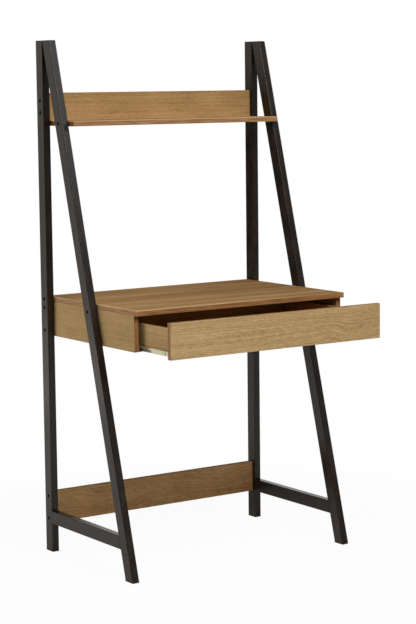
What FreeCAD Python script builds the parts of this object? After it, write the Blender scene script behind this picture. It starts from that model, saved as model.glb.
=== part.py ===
import FreeCAD, Part
import Sketcher
import math
import os
import re

# Ladder desk: two leaning tube frames carry a shelf, a lower back board and a desk box with one drawer.
# The drawer runs on bottom-mounted roller runners and stands partly open in the rest position.
# +X is to the right, +Y to the back, +Z up; the origin is on the floor under the middle of the box
# that holds the whole desk. Most profiles are drawn as (distance forward of the back, height).

sizes = {
    # frame tubes
    "frame_width": 761,
    "frame_height": 1500,
    "tube_width": 22,
    "tube_depth": 38,
    "tube_wall": 1.5,
    "tube_round": 2,
    "leg_spread": 407.5,
    "rail_low": 85.5,
    "plate_thick": 2,
    "foot_height": 5,
    "foot_plug": 14,
    "foot_bevel": 1.5,
    # boards
    "board_thick": 15,
    "board_arris": 0.8,
    "back_board_height": 95,
    "lower_board_low": 85.5,
    "shelf_drop": 229,
    "shelf_reach": 171,
    "top_height": 760,
    "top_depth": 492.5,
    "desk_side_height": 101,
    # drawer
    "drawer_open": 166,
    "front_height": 100,
    "front_gap": 2,
    "closed_gap": 1.5,
    "drawer_lift": 3.8,
    "drawer_rear_room": 51,
    "travel_overlap": 100,
    "drawer_wall": 12,
    "drawer_side_height": 75,
    "panel_thick": 3,
    "groove_depth": 6,
    "groove_lift": 9,
    "groove_slack": 0.2,
    # roller runners
    "runner_gap": 12.5,
    "runner_sheet": 1.2,
    "runner_setback": 0.5,
    "flange_height": 13.2,
    "flange_reach": 9.1,
    "lip_depth": 4.4,
    "track_reach": 10.4,
    "guard_reach": 9,
    "guard_gap": 1,
    "roller_radius": 6.2,
    "roller_width": 5.8,
    "roller_start": 5,
    "roller_inset": 6,
    "roller_run_gap": 0.3,
    "stop_height": 3,
    "stop_top": 3,
    "stop_slope": 2.5,
    "stop_gap": 0.5,
    "end_stop_height": 8,
    "pin_radius": 2,
    "pin_shoulder": 2.8,
    "pin_play": 0.05,
    "pin_float": 0.1,
    # fasteners
    "bolt_radius": 3,
    "bolt_head_radius": 4.6,
    "bolt_head_height": 4,
    "bolt_play": 0.3,
    "access_radius": 5,
    "insert_radius": 4.5,
    "insert_length": 12,
    "bolt_short_of": 1,
    "fit_gap": 0.1,
    "wide_bolt_pitch": 66,
    "narrow_bolt_pitch": 34,
    "leg_bolt_drop": 7,
    "screw_radius": 1.75,
    "screw_length": 10,
    "screw_head_radius": 3,
    "screw_head_height": 1.2,
    "runner_screw_inset": 52,
    "long_screw_radius": 2.5,
    "long_screw_length": 45,
    "long_screw_head": 3.5,
    "long_screw_head_height": 2,
    "shelf_screw_pitch": 250,
    "dowel_radius": 4,
    "dowel_length": 30,
    "dowel_in_top": 10,
    "dowel_inset": 110,
    "cam_radius": 7.5,
    "cam_depth": 12,
    "cam_drop": 24,
    "cam_inset": 70,
    "cam_bolt_radius": 3,
    "cam_bolt_in_board": 10,
    "small_cam_radius": 6,
    "small_cam_depth": 9,
    "small_cam_inset": 16,
    "back_screw_pitch": 32,
    "panel_screw_pitch": 200,
    "panel_screw_length": 16,
}

# places and sizes that follow from the ones above
derived = {
    "rear_plane": "(top_depth + drawer_open) / 2",
    "frame_inner": "frame_width / 2 - tube_width",
    "tube_middle": "(frame_width - tube_width) / 2",
    "bolt_line": "tube_depth / 2",
    "tube_top": "frame_height - plate_thick",
    "lean_run": "leg_spread / frame_height",
    "lean_stretch": "sqrt(1 + lean_run ^ 2)",
    "leg_cut": "tube_depth * lean_stretch",
    "wall_cut": "tube_wall * lean_stretch",
    "leg_top_front": "tube_depth + leg_cut",
    "board_rear": "(tube_depth - board_thick) / 2",
    "board_front": "(tube_depth + board_thick) / 2",
    "shelf_level": "frame_height - shelf_drop",
    "shelf_low": "shelf_level - board_thick",
    "shelf_middle": "shelf_level - board_thick / 2",
    "top_under": "top_height - board_thick",
    "top_middle": "top_height - board_thick / 2",
    "desk_low": "top_under - desk_side_height",
    "desk_middle": "top_under - desk_side_height / 2",
    "desk_front": "top_depth - board_thick - closed_gap",
    "desk_inner": "frame_inner - board_thick",
    "front_seat": "top_depth - board_thick",
    "front_low": "top_under - front_gap - front_height",
    "drawer_low": "front_low + drawer_lift",
    "drawer_top": "drawer_low + drawer_side_height",
    "drawer_tail": "board_front + drawer_rear_room",
    "drawer_outer": "desk_inner - runner_gap",
    "drawer_inner": "drawer_outer - drawer_wall",
    "panel_low": "drawer_low + groove_lift",
    "panel_top": "panel_low + panel_thick",
    "panel_edge": "groove_depth - groove_slack",
    "shelf_bolt_middle": "(shelf_level + shelf_low + back_board_height) / 2",
    "lower_bolt_middle": "lower_board_low + back_board_height / 2",
    "leg_bolt_height": "top_under - leg_bolt_drop",
    "bolt_seat": "frame_inner + tube_wall",
    "runner_length": "front_seat - drawer_tail",
    "drawer_travel": "runner_length - travel_overlap",
    "cabinet_runner_front": "desk_front - runner_setback",
    "drawer_runner_front": "front_seat - runner_setback",
    "track_height": "-runner_sheet",
    "flange_under": "flange_height - runner_sheet",
    "front_roller_height": "drawer_low + flange_under - roller_run_gap - roller_radius",
    "rear_roller_height": "drawer_low + track_height + roller_run_gap + roller_radius",
    "front_roller_place": "cabinet_runner_front - roller_inset",
    "rear_roller_place": "drawer_runner_front - runner_length + roller_inset + roller_run_gap",
    "web_middle": "drawer_low + flange_under / 2",
    "stop_place": "rear_roller_place + drawer_travel + roller_radius + stop_gap",
}

doc = FreeCAD.newDocument("LadderDesk")
sheet = doc.addObject("Spreadsheet::Sheet", "Sizes")
for row, (alias, value) in enumerate(sizes.items(), start=1):
    sheet.set(f"A{row}", alias)
    sheet.set(f"B{row}", str(value))
    sheet.setAlias(f"B{row}", alias)
doc.recompute()

# local axes of a piece: across the desk, standing, or facing the user
rightward = FreeCAD.Vector(1, 0, 0)
backward = FreeCAD.Vector(0, 1, 0)
upward = FreeCAD.Vector(0, 0, 1)


def turned_to(along, second, third):
    return FreeCAD.Rotation(along, second, third, "XYZ")


standing = FreeCAD.Rotation()
sideways = turned_to(-backward, upward, -rightward)
facing = turned_to(rightward, upward, -backward)
facing_mirrored = turned_to(-rightward, upward, backward)
inward = {
    "left": turned_to(backward, upward, rightward),
    "right": turned_to(-backward, upward, -rightward),
}
side_sign = {"left": "-1", "right": "1"}
pieces = []


# a formula in the words above, written out for the sheet
def formula(text):
    def word(match):
        name = match.group()
        if name in sizes:
            return "Sizes." + name
        if name in derived:
            return "(" + formula(derived[name]) + ")"
        return name

    return re.sub(r"[a-z_]+", word, text)


def number(text):
    return float(sheet.evalExpression(formula(text)))


def new_piece(label, turned, across="0", forward="0", up="0"):
    body = doc.addObject("PartDesign::Body", label)
    body.Label = label
    body.Placement = FreeCAD.Placement(FreeCAD.Vector(), turned)
    body.setExpression("Placement.Base.x", formula(across))
    body.setExpression("Placement.Base.y", formula(f"rear_plane - ({forward})"))
    body.setExpression("Placement.Base.z", formula(up))
    pieces.append(body)
    return body


def new_sketch(body, offset="0", plane="XY_Plane"):
    sketch = body.newObject("Sketcher::SketchObject", "Sketch")
    support = next(item for item in body.Origin.OriginFeatures if item.Role == plane)
    sketch.AttachmentSupport = [(support, "")]
    sketch.MapMode = "FlatFace"
    sketch.setExpression("AttachmentOffset.Base.z", formula(offset))
    return sketch


# ties points of a sketch to their places, each a pair of formulas
def hold_points(sketch, held):
    texts = [text for element, end, place in held for text in place]
    ties = [
        Sketcher.Constraint(kind, -1, 1, element, end, number(text))
        for element, end, place in held
        for kind, text in zip(("DistanceX", "DistanceY"), place)
    ]
    for tie, text in zip(sketch.addConstraint(ties), texts):
        sketch.setExpression(f"Constraints[{tie}]", formula(text))


def draw_outline(sketch, corners):
    points = [FreeCAD.Vector(number(along), number(up), 0) for along, up in corners]
    lines = [
        sketch.addGeometry(Part.LineSegment(start, end), False)
        for start, end in zip(points, points[1:] + points[:1])
    ]
    sketch.addConstraint([
        Sketcher.Constraint("Coincident", line, 2, following, 1)
        for line, following in zip(lines, lines[1:] + lines[:1])
    ])
    hold_points(sketch, [(line, 1, corner) for line, corner in zip(lines, corners)])


def draw_circle(sketch, centre, radius):
    middle = FreeCAD.Vector(number(centre[0]), number(centre[1]), 0)
    ring = sketch.addGeometry(Part.Circle(middle, FreeCAD.Vector(0, 0, 1), number(radius)), False)
    hold_points(sketch, [(ring, 3, centre)])
    held = sketch.addConstraint(Sketcher.Constraint("Radius", ring, number(radius)))
    sketch.setExpression(f"Constraints[{held}]", formula(radius))


def add_pad(body, sketch, length, side="Symmetric"):
    pad = body.newObject("PartDesign::Pad", "Pad")
    pad.Profile = sketch
    pad.SideType = side
    pad.setExpression("Length", formula(length))
    doc.recompute()
    return pad


# cuts symmetrically about the sketch, or along its normal one way only
def add_pocket(body, sketch, length, side="Symmetric", along=False):
    before = body.Shape.Volume
    pocket = body.newObject("PartDesign::Pocket", "Pocket")
    pocket.Profile = sketch
    pocket.SideType = side
    pocket.Reversed = along
    pocket.setExpression("Length", formula(length))
    doc.recompute()
    if body.Shape.Volume >= before - 1e-6:
        raise RuntimeError(f"{body.Label}: {pocket.Name} removes nothing")
    return pocket


def dress_edges(body, kind, size_name, size, chosen):
    base = body.Tip
    names = [f"Edge{place}" for place, edge in enumerate(base.Shape.Edges, start=1) if chosen(edge)]
    feature = body.newObject(f"PartDesign::{kind}", kind)
    feature.Base = (base, names)
    feature.setExpression(size_name, formula(size))
    doc.recompute()


def every_edge(edge):
    return True


# edges are told apart by where they lie and how they run in the piece's own axes
def edge_runs(edge):
    start = edge.Vertexes[0].Point
    end = edge.Vertexes[-1].Point
    return (end - start).normalize()


def stands_upright(edge):
    return abs(edge_runs(edge).y) > 0.999


def lies_on_floor(edge):
    return max(corner.Point.y for corner in edge.Vertexes) < 1e-6


def rectangle(rear, front, low, high):
    return [(rear, low), (front, low), (front, high), (rear, high)]


# hidden fasteners are drawn with six flats, and the holes they fill with six flats about the same circle
def draw_flats(sketch, centre, radius, flats=6):
    corners = []
    for step in range(flats):
        turn = 2 * math.pi * step / flats
        corners.append((
            f"{centre[0]} + ({radius}) * {math.cos(turn):.6f}",
            f"{centre[1]} + ({radius}) * {math.sin(turn):.6f}",
        ))
    draw_outline(sketch, corners)


def draw_flats_about(sketch, centre, radius, flats=6):
    draw_flats(sketch, centre, f"({radius}) / {math.cos(math.pi / flats):.6f}", flats)


# rods of one radius, all between two distances along the piece's local z
def add_rods(body, centres, radius, low, high, draw=draw_flats):
    sketch = new_sketch(body, low)
    for centre in centres:
        draw(sketch, centre, radius)
    return add_pad(body, sketch, f"({high}) - ({low})", "One side")


def drill(body, centres, radius, start, depth, plane="XY_Plane", along=True, draw=draw_flats_about):
    sketch = new_sketch(body, start, plane)
    for centre in centres:
        draw(sketch, centre, radius)
    return add_pocket(body, sketch, depth, "One side", along)


def add_board(label, profile, width, across="0", forward="0", arris=True):
    body = new_piece(label, sideways, across, forward)
    sketch = new_sketch(body)
    draw_outline(sketch, profile)
    add_pad(body, sketch, width)
    if arris:
        dress_edges(body, "Chamfer", "Size", "board_arris", every_edge)
    return body


# drawn as (forward, height), front face of the leaning leg at a height
def leg_front(height):
    return f"leg_top_front + (frame_height - ({height})) * lean_run"


def leg_middle(height):
    return f"{leg_front(height)} - leg_cut / 2"


def leg_rear(height):
    return f"{leg_front(height)} - leg_cut"


upright_bolts = {
    "shelf_back": ["shelf_bolt_middle - narrow_bolt_pitch / 2", "shelf_bolt_middle + narrow_bolt_pitch / 2"],
    "desk_top": ["top_middle"],
    "desk_back": ["desk_middle - wide_bolt_pitch / 2", "desk_middle + wide_bolt_pitch / 2"],
    "lower_back": ["lower_bolt_middle - wide_bolt_pitch / 2", "lower_bolt_middle + wide_bolt_pitch / 2"],
}
bolt_places = {
    board: [("bolt_line", height) for height in heights]
    for board, heights in upright_bolts.items()
}
bolt_places["shelf"] = [(leg_middle("shelf_middle"), "shelf_middle")]
bolt_places["desk_side"] = [(leg_middle("leg_bolt_height"), "leg_bolt_height")]
upright_holes = [place for board in upright_bolts for place in bolt_places[board]]
leg_holes = bolt_places["shelf"] + bolt_places["desk_side"]


# a welded tube: rounded along its length, hollow from end to end, drilled for its bolts
def add_tube(label, side, outer, inner, holes):
    body = new_piece(label, sideways, f"{side_sign[side]} * tube_middle")
    sketch = new_sketch(body)
    draw_outline(sketch, outer)
    add_pad(body, sketch, "tube_width")
    runs = FreeCAD.Vector(number(outer[3][0]), number(outer[3][1]), 0)
    runs = (runs - FreeCAD.Vector(number(outer[0][0]), number(outer[0][1]), 0)).normalize()
    dress_edges(body, "Fillet", "Radius", "tube_round", lambda edge: abs(edge_runs(edge).dot(runs)) > 0.999)
    hollow = new_sketch(body)
    draw_outline(hollow, inner)
    add_pocket(body, hollow, "tube_width - 2 * tube_wall")
    if holes:
        outside = side == "left"
        drill(body, holes, "access_radius", "0", "tube_width", along=outside, draw=draw_circle)
        drill(body, holes, "bolt_radius + bolt_play", "0", "tube_width", along=not outside)
    return body


def add_frame(side):
    add_tube(
        f"{side}_rear_upright", side,
        rectangle("0", "tube_depth", "foot_height", "tube_top"),
        rectangle("tube_wall", "tube_depth - tube_wall", "foot_height", "tube_top"),
        upright_holes,
    )
    add_tube(
        f"{side}_front_leg", side,
        [(leg_rear("foot_height"), "foot_height"), (leg_front("foot_height"), "foot_height"),
         (leg_front("tube_top"), "tube_top"), (leg_rear("tube_top"), "tube_top")],
        [(leg_rear("foot_height") + " + wall_cut", "foot_height"),
         (leg_front("foot_height") + " - wall_cut", "foot_height"),
         (leg_front("tube_top") + " - wall_cut", "tube_top"),
         (leg_rear("tube_top") + " + wall_cut", "tube_top")],
        leg_holes,
    )
    rail_high = "rail_low + tube_depth"
    rail_inner_low = "rail_low + tube_wall"
    rail_inner_high = "rail_low + tube_depth - tube_wall"
    add_tube(
        f"{side}_side_rail", side,
        [(leg_rear("rail_low"), "rail_low"), (leg_rear(rail_high), rail_high),
         ("tube_depth", rail_high), ("tube_depth", "rail_low")],
        [(leg_rear(rail_inner_low), rail_inner_low), (leg_rear(rail_inner_high), rail_inner_high),
         ("tube_depth", rail_inner_high), ("tube_depth", rail_inner_low)],
        [],
    )
    plate = new_piece(f"{side}_top_plate", sideways, f"{side_sign[side]} * tube_middle")
    sketch = new_sketch(plate)
    draw_outline(sketch, rectangle("0", "leg_top_front", "tube_top", "frame_height"))
    add_pad(plate, sketch, "tube_width")
    dress_edges(plate, "Chamfer", "Size", "tube_round / 2", stands_upright)


# end cap under a tube: a bevelled pad on the floor and a plug that fills the tube's end
def add_foot(label, side, rear, front):
    body = new_piece(label, sideways, f"{side_sign[side]} * tube_middle")
    pad_sketch = new_sketch(body)
    draw_outline(pad_sketch, rectangle(rear("foot_height"), front("foot_height"), "0", "foot_height"))
    add_pad(body, pad_sketch, "tube_width")
    dress_edges(body, "Chamfer", "Size", "tube_round / 2", stands_upright)
    dress_edges(body, "Chamfer", "Size", "foot_bevel", lies_on_floor)
    plug_top = "foot_height + foot_plug"
    plug_sketch = new_sketch(body)
    draw_outline(plug_sketch, [
        (rear("foot_height") + " + wall_cut + fit_gap", "foot_height"),
        (front("foot_height") + " - wall_cut - fit_gap", "foot_height"),
        (front(plug_top) + " - wall_cut - fit_gap", plug_top),
        (rear(plug_top) + " + wall_cut + fit_gap", plug_top),
    ])
    add_pad(body, plug_sketch, "tube_width - 2 * (tube_wall + fit_gap)")


def add_feet(side):
    add_foot(f"{side}_rear_foot", side, lambda height: "0", lambda height: "tube_depth")
    add_foot(f"{side}_front_foot", side, leg_rear, leg_front)


# blind holes for threaded inserts in both ends of a board that spans the frames
def drill_insert_ends(body, centres):
    radius = "insert_radius + fit_gap"
    drill(body, centres, radius, "frame_inner - insert_length", "insert_length")
    drill(body, centres, radius, "-(frame_inner - insert_length)", "insert_length", along=False)


def shelf_screw_places():
    return [(f"{step} * shelf_screw_pitch", "shelf_middle") for step in ("-1", "0", "1")]


# circles for holes along the depth of a board drawn sideways: its sketch has (height, -across)
def turned_places(places):
    return [(up, f"-({across})") for across, up in places]


def add_shelf():
    span = "2 * frame_inner"
    back = add_board(
        "shelf_back_board",
        rectangle("board_rear", "board_front", "shelf_low", "shelf_low + back_board_height"), span)
    drill_insert_ends(back, bolt_places["shelf_back"])
    screws = turned_places(shelf_screw_places())
    drill(back, screws, "long_screw_radius + fit_gap", "board_rear", "board_thick", "YZ_Plane")
    drill(back, screws, "long_screw_head + fit_gap", "board_rear", "long_screw_head_height", "YZ_Plane")
    shelf = add_board(
        "shelf_board", rectangle("board_front", "shelf_reach", "shelf_low", "shelf_level"), span)
    drill_insert_ends(shelf, bolt_places["shelf"])
    depth = "long_screw_length - board_thick + fit_gap"
    drill(shelf, screws, "long_screw_radius + fit_gap", "board_front", depth, "YZ_Plane")
    lower_board_high = "lower_board_low + back_board_height"
    lower = add_board(
        "lower_back_board",
        rectangle("board_rear", "board_front", "lower_board_low", lower_board_high), span)
    drill_insert_ends(lower, bolt_places["lower_back"])


dowel_places = ["dowel_inset", "desk_front - dowel_inset"]
cam_places = ["cam_inset", "desk_front - cam_inset"]
side_screw_places = [
    "cabinet_runner_front - runner_screw_inset",
    "cabinet_runner_front - runner_length / 2",
    "cabinet_runner_front - runner_length + runner_screw_inset",
]


def add_desk():
    top = add_board("desk_top", rectangle("0", "top_depth", "top_under", "top_height"), "2 * frame_inner")
    drill_insert_ends(top, bolt_places["desk_top"])
    sides = ("frame_inner - board_thick / 2", "-(frame_inner - board_thick / 2)")
    in_top = [(place, across) for place in dowel_places for across in sides]
    depth = "dowel_in_top + fit_gap"
    drill(top, in_top, "dowel_radius + fit_gap", "-top_under", depth, "XZ_Plane", along=False)
    cams_in_top = [(place, across) for place in cam_places for across in sides]
    depth = "cam_bolt_in_board + fit_gap"
    drill(top, cams_in_top, "cam_bolt_radius + fit_gap", "-top_under", depth, "XZ_Plane", along=False)
    for side, sign in side_sign.items():
        outside = side == "left"
        panel = add_board(
            f"desk_{side}_side", rectangle("0", "desk_front", "desk_low", "top_under"), "board_thick",
            f"{sign} * (frame_inner - board_thick / 2)")
        inner = f"{sign} * board_thick / 2"
        outer = f"-({sign}) * board_thick / 2"
        drill(panel, bolt_places["desk_back"], "bolt_radius + bolt_play", inner, "board_thick", along=outside)
        insert = "insert_radius + fit_gap"
        drill(panel, bolt_places["desk_side"], insert, outer, "insert_length", along=not outside)
        screws = [(place, "web_middle") for place in side_screw_places]
        drill(panel, screws, "screw_radius + fit_gap", inner, "screw_length + fit_gap", along=outside)
        dowels = [(place, "0") for place in dowel_places]
        deep = "dowel_length - dowel_in_top + fit_gap"
        drill(panel, dowels, "dowel_radius + fit_gap", "-top_under", deep, "XZ_Plane")
        cams = [(place, "top_under - cam_drop") for place in cam_places]
        drill(panel, cams, "cam_radius + fit_gap", inner, "cam_depth", along=outside)
        bolts = [(place, "0") for place in cam_places]
        drill(panel, bolts, "cam_bolt_radius + fit_gap", "-top_under", "cam_drop", "XZ_Plane")
    back = add_board(
        "desk_back_panel", rectangle("board_rear", "board_front", "desk_low", "top_under"), "2 * desk_inner")
    ends = "insert_radius + fit_gap"
    drill(back, bolt_places["desk_back"], ends, "desk_inner - insert_length", "insert_length")
    drill(back, bolt_places["desk_back"], ends, "-(desk_inner - insert_length)", "insert_length", along=False)


small_cam_heights = ["panel_top + small_cam_inset", "drawer_top - small_cam_inset"]
back_screw_heights = ["(panel_top + drawer_top) / 2 - back_screw_pitch / 2",
                      "(panel_top + drawer_top) / 2 + back_screw_pitch / 2"]
drawer_screw_places = [
    "drawer_runner_front - runner_screw_inset",
    "drawer_runner_front - runner_length / 2",
    "drawer_runner_front - runner_length + runner_screw_inset",
]
side_middle = "drawer_outer - drawer_wall / 2"
back_middle = "drawer_tail + drawer_wall / 2"
panel_screw_places = [f"{step} * panel_screw_pitch" for step in ("-1", "0", "1")]


def add_drawer():
    width = "2 * (drawer_inner + groove_depth)"
    groove_top = "panel_top + groove_slack"
    front = add_board(
        "drawer_front", rectangle("front_seat", "top_depth", "front_low", "front_low + front_height"),
        "2 * frame_inner", forward="drawer_open")
    slot = new_sketch(front)
    draw_outline(slot, rectangle("front_seat", "front_seat + groove_depth", "panel_low", groove_top))
    add_pocket(front, slot, width)
    bolts = [(height, f"{sign} * ({side_middle})") for height in small_cam_heights for sign in ("-1", "1")]
    drill(front, bolts, "cam_bolt_radius + fit_gap", "front_seat", "cam_bolt_in_board + fit_gap", "YZ_Plane")
    for side, sign in side_sign.items():
        outside = side == "left"
        wall = add_board(
            f"drawer_{side}_side", rectangle("drawer_tail", "front_seat", "drawer_low", "drawer_top"),
            "drawer_wall", f"{sign} * ({side_middle})", "drawer_open")
        inner = f"{sign} * drawer_wall / 2"
        outer = f"-({sign}) * drawer_wall / 2"
        groove = new_sketch(wall, inner)
        draw_outline(groove, rectangle("drawer_tail", "front_seat", "panel_low", groove_top))
        add_pocket(wall, groove, "groove_depth", "One side", along=outside)
        cams = [("front_seat - cam_drop", height) for height in small_cam_heights]
        drill(wall, cams, "small_cam_radius + fit_gap", inner, "small_cam_depth", along=outside)
        shafts = [(height, "0") for height in small_cam_heights]
        drill(wall, shafts, "cam_bolt_radius + fit_gap", "front_seat", "cam_drop", "YZ_Plane", along=False)
        screws = [(place, "web_middle") for place in drawer_screw_places]
        drill(wall, screws, "screw_radius + fit_gap", outer, "screw_length + fit_gap", along=not outside)
        backs = [(back_middle, height) for height in back_screw_heights]
        drill(wall, backs, "long_screw_radius + fit_gap", outer, "drawer_wall", along=not outside)
        drill(wall, backs, "long_screw_head + fit_gap", outer, "long_screw_head_height", along=not outside)
    back = add_board(
        "drawer_back", rectangle("drawer_tail", "drawer_tail + drawer_wall", "panel_top", "drawer_top"),
        "2 * drawer_inner", forward="drawer_open")
    ends = [(back_middle, height) for height in back_screw_heights]
    deep = "long_screw_length - drawer_wall + fit_gap"
    drill(back, ends, "long_screw_radius + fit_gap", f"drawer_inner - ({deep})", deep)
    drill(back, ends, "long_screw_radius + fit_gap", f"-(drawer_inner - ({deep}))", deep, along=False)
    ups = [(back_middle, across) for across in panel_screw_places]
    shank = "screw_radius + fit_gap"
    deep = "panel_screw_length - panel_thick + fit_gap"
    drill(back, ups, shank, "-panel_top", deep, "XZ_Plane", along=False)
    panel = add_board(
        "drawer_bottom", rectangle("drawer_tail", "front_seat + panel_edge", "panel_low", "panel_top"),
        "2 * (drawer_inner + panel_edge)", forward="drawer_open", arris=False)
    drill(panel, ups, shank, "-panel_top", "panel_thick", "XZ_Plane")


# runner profiles are drawn as (inward from the desk side, height above the drawer's lower edge)
def cabinet_profile():
    low = "track_height - runner_sheet"
    guard = "flange_height + guard_gap"
    top = "flange_height + guard_gap + runner_sheet"
    return [
        ("0", low), ("track_reach", low), ("track_reach", "track_height"), ("runner_sheet", "track_height"),
        ("runner_sheet", guard), ("guard_reach", guard), ("guard_reach", top), ("0", top),
    ]


def drawer_profile():
    web = "runner_gap - runner_sheet"
    lip_out = "runner_gap - flange_reach"
    lip_in = "runner_gap - flange_reach + runner_sheet"
    lip_low = "flange_height - lip_depth"
    return [
        ("runner_gap + drawer_wall", "-runner_sheet"), ("runner_gap + drawer_wall", "0"), ("runner_gap", "0"),
        ("runner_gap", "flange_height"), (lip_out, "flange_height"), (lip_out, lip_low), (lip_in, lip_low),
        (lip_in, "flange_under"), (web, "flange_under"), (web, "-runner_sheet"),
    ]


# a pressed sheet profile, punched through its web for its screws and its roller's pin
def add_runner(label, side, profile, front, forward, web_start, screws, pin, pin_height):
    middle = f"{front} - runner_length / 2"
    turned = facing if side == "left" else facing_mirrored
    body = new_piece(
        label, turned, f"{side_sign[side]} * desk_inner", f"{forward} + {middle}", "drawer_low")
    sketch = new_sketch(body)
    draw_outline(sketch, profile)
    add_pad(body, sketch, "runner_length")
    ahead = "1" if side == "left" else "-1"
    holes = [("web_middle - drawer_low", f"{ahead} * ({place} - ({middle}))") for place in screws]
    pins = [(f"{pin_height} - drawer_low", f"{ahead} * ({pin} - ({middle}))")]
    screw_hole = "screw_radius + fit_gap" if web_start == "0" else "screw_head_radius + fit_gap"
    drill(body, holes, screw_hole, web_start, "runner_sheet", "YZ_Plane")
    drill(body, pins, "pin_radius + fit_gap", web_start, "runner_sheet", "YZ_Plane")
    return body


# The track of a cabinet runner ends in a folded stop that meets the rear roller of the closed drawer.
# A pressed bump holds that roller at full travel, and ahead of it the guard is cut away, so that the
# drawer can be lifted over the bump and taken out.
def add_runner_stops(body, side):
    middle = "cabinet_runner_front - runner_length / 2"
    ahead = "1" if side == "left" else "-1"
    inside = "runner_sheet"
    fold = new_sketch(body, f"{ahead} * (runner_sheet - runner_length) / 2")
    draw_outline(fold, rectangle(inside, "track_reach", "track_height", "track_height + end_stop_height"))
    add_pad(body, fold, "runner_sheet")
    bump = new_sketch(body, inside, "YZ_Plane")
    foot = "stop_place"
    crest = "stop_place + stop_slope"
    crest_end = "stop_place + stop_slope + stop_top"
    foot_end = "stop_place + 2 * stop_slope + stop_top"
    draw_outline(bump, [
        (height, f"{ahead} * ({place} - ({middle}))")
        for height, place in (
            ("track_height", foot), ("track_height + stop_height", crest),
            ("track_height + stop_height", crest_end), ("track_height", foot_end))
    ])
    add_pad(body, bump, "track_reach - runner_sheet", "One side")
    notch = new_sketch(body, f"{ahead} * ((stop_place + cabinet_runner_front) / 2 - ({middle}))")
    guard = "flange_height + guard_gap"
    draw_outline(notch, rectangle(inside, "guard_reach", guard, f"{guard} + runner_sheet"))
    add_pocket(body, notch, "cabinet_runner_front - stop_place")


def add_disc(body, radius, start, end):
    return add_rods(body, [("0", "0")], radius, start, end, draw_circle)


def add_roller(label, side, place, forward, height):
    body = new_piece(label, inward[side], f"{side_sign[side]} * desk_inner", f"{forward} + {place}", height)
    add_disc(body, "roller_radius", "roller_start", "roller_start + roller_width")
    drill(body, [("0", "0")], "pin_radius + pin_play", "roller_start", "roller_width", draw=draw_circle)


# a riveted pin with the shoulder that keeps its roller off the web
def add_pin(label, side, place, forward, height, web, shoulder, tip):
    body = new_piece(label, inward[side], f"{side_sign[side]} * desk_inner", f"{forward} + {place}", height)
    low, high = sorted((web, tip), key=number)
    add_disc(body, "pin_radius", low, high)
    low, high = sorted(shoulder, key=number)
    add_rods(body, [("0", "0")], "pin_shoulder", low, high)


def add_runners(side):
    roller_end = "roller_start + roller_width"
    drawer_web = "runner_gap - runner_sheet"
    cabinet_runner = add_runner(
        f"{side}_cabinet_runner", side, cabinet_profile(), "cabinet_runner_front", "0", "0",
        side_screw_places, "front_roller_place", "front_roller_height")
    add_runner_stops(cabinet_runner, side)
    add_runner(
        f"{side}_drawer_runner", side, drawer_profile(), "drawer_runner_front", "drawer_open", drawer_web,
        drawer_screw_places, "rear_roller_place", "rear_roller_height")
    add_roller(f"{side}_front_roller", side, "front_roller_place", "0", "front_roller_height")
    add_roller(f"{side}_rear_roller", side, "rear_roller_place", "drawer_open", "rear_roller_height")
    add_pin(f"{side}_front_roller_pin", side, "front_roller_place", "0", "front_roller_height",
            "0", ("runner_sheet", "roller_start - pin_float"), roller_end)
    add_pin(f"{side}_rear_roller_pin", side, "rear_roller_place", "drawer_open", "rear_roller_height",
            "runner_gap", (f"{roller_end} + pin_float", drawer_web), "roller_start")


# the same rods on both sides of the desk, between two distances from its middle
def add_pair(body, centres, radius, near, far):
    add_rods(body, centres, radius, near, far)
    add_rods(body, centres, radius, f"-({far})", f"-({near})")


def add_bolts():
    bolts = new_piece("frame_bolts", sideways)
    seats = [place for board, places in bolt_places.items() if board != "desk_back" for place in places]
    tip = "frame_inner - insert_length + bolt_short_of"
    head_top = "bolt_seat + bolt_head_height"
    add_pair(bolts, seats, "bolt_radius", tip, "bolt_seat")
    add_pair(bolts, seats, "bolt_head_radius", "bolt_seat", head_top)
    long_bolts = new_piece("desk_back_bolts", sideways)
    long_tip = "desk_inner - insert_length + bolt_short_of"
    add_pair(long_bolts, bolt_places["desk_back"], "bolt_radius", long_tip, "bolt_seat")
    add_pair(long_bolts, bolt_places["desk_back"], "bolt_head_radius", "bolt_seat", head_top)
    inserts = new_piece("threaded_inserts", sideways)
    add_pair(inserts, seats, "insert_radius", "frame_inner - insert_length", "frame_inner")
    add_pair(inserts, bolt_places["desk_back"], "insert_radius", "desk_inner - insert_length", "desk_inner")
    every_place = seats + bolt_places["desk_back"]
    drill(inserts, every_place, "bolt_radius + fit_gap", "0", "frame_inner")
    drill(inserts, every_place, "bolt_radius + fit_gap", "0", "frame_inner", along=False)


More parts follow.
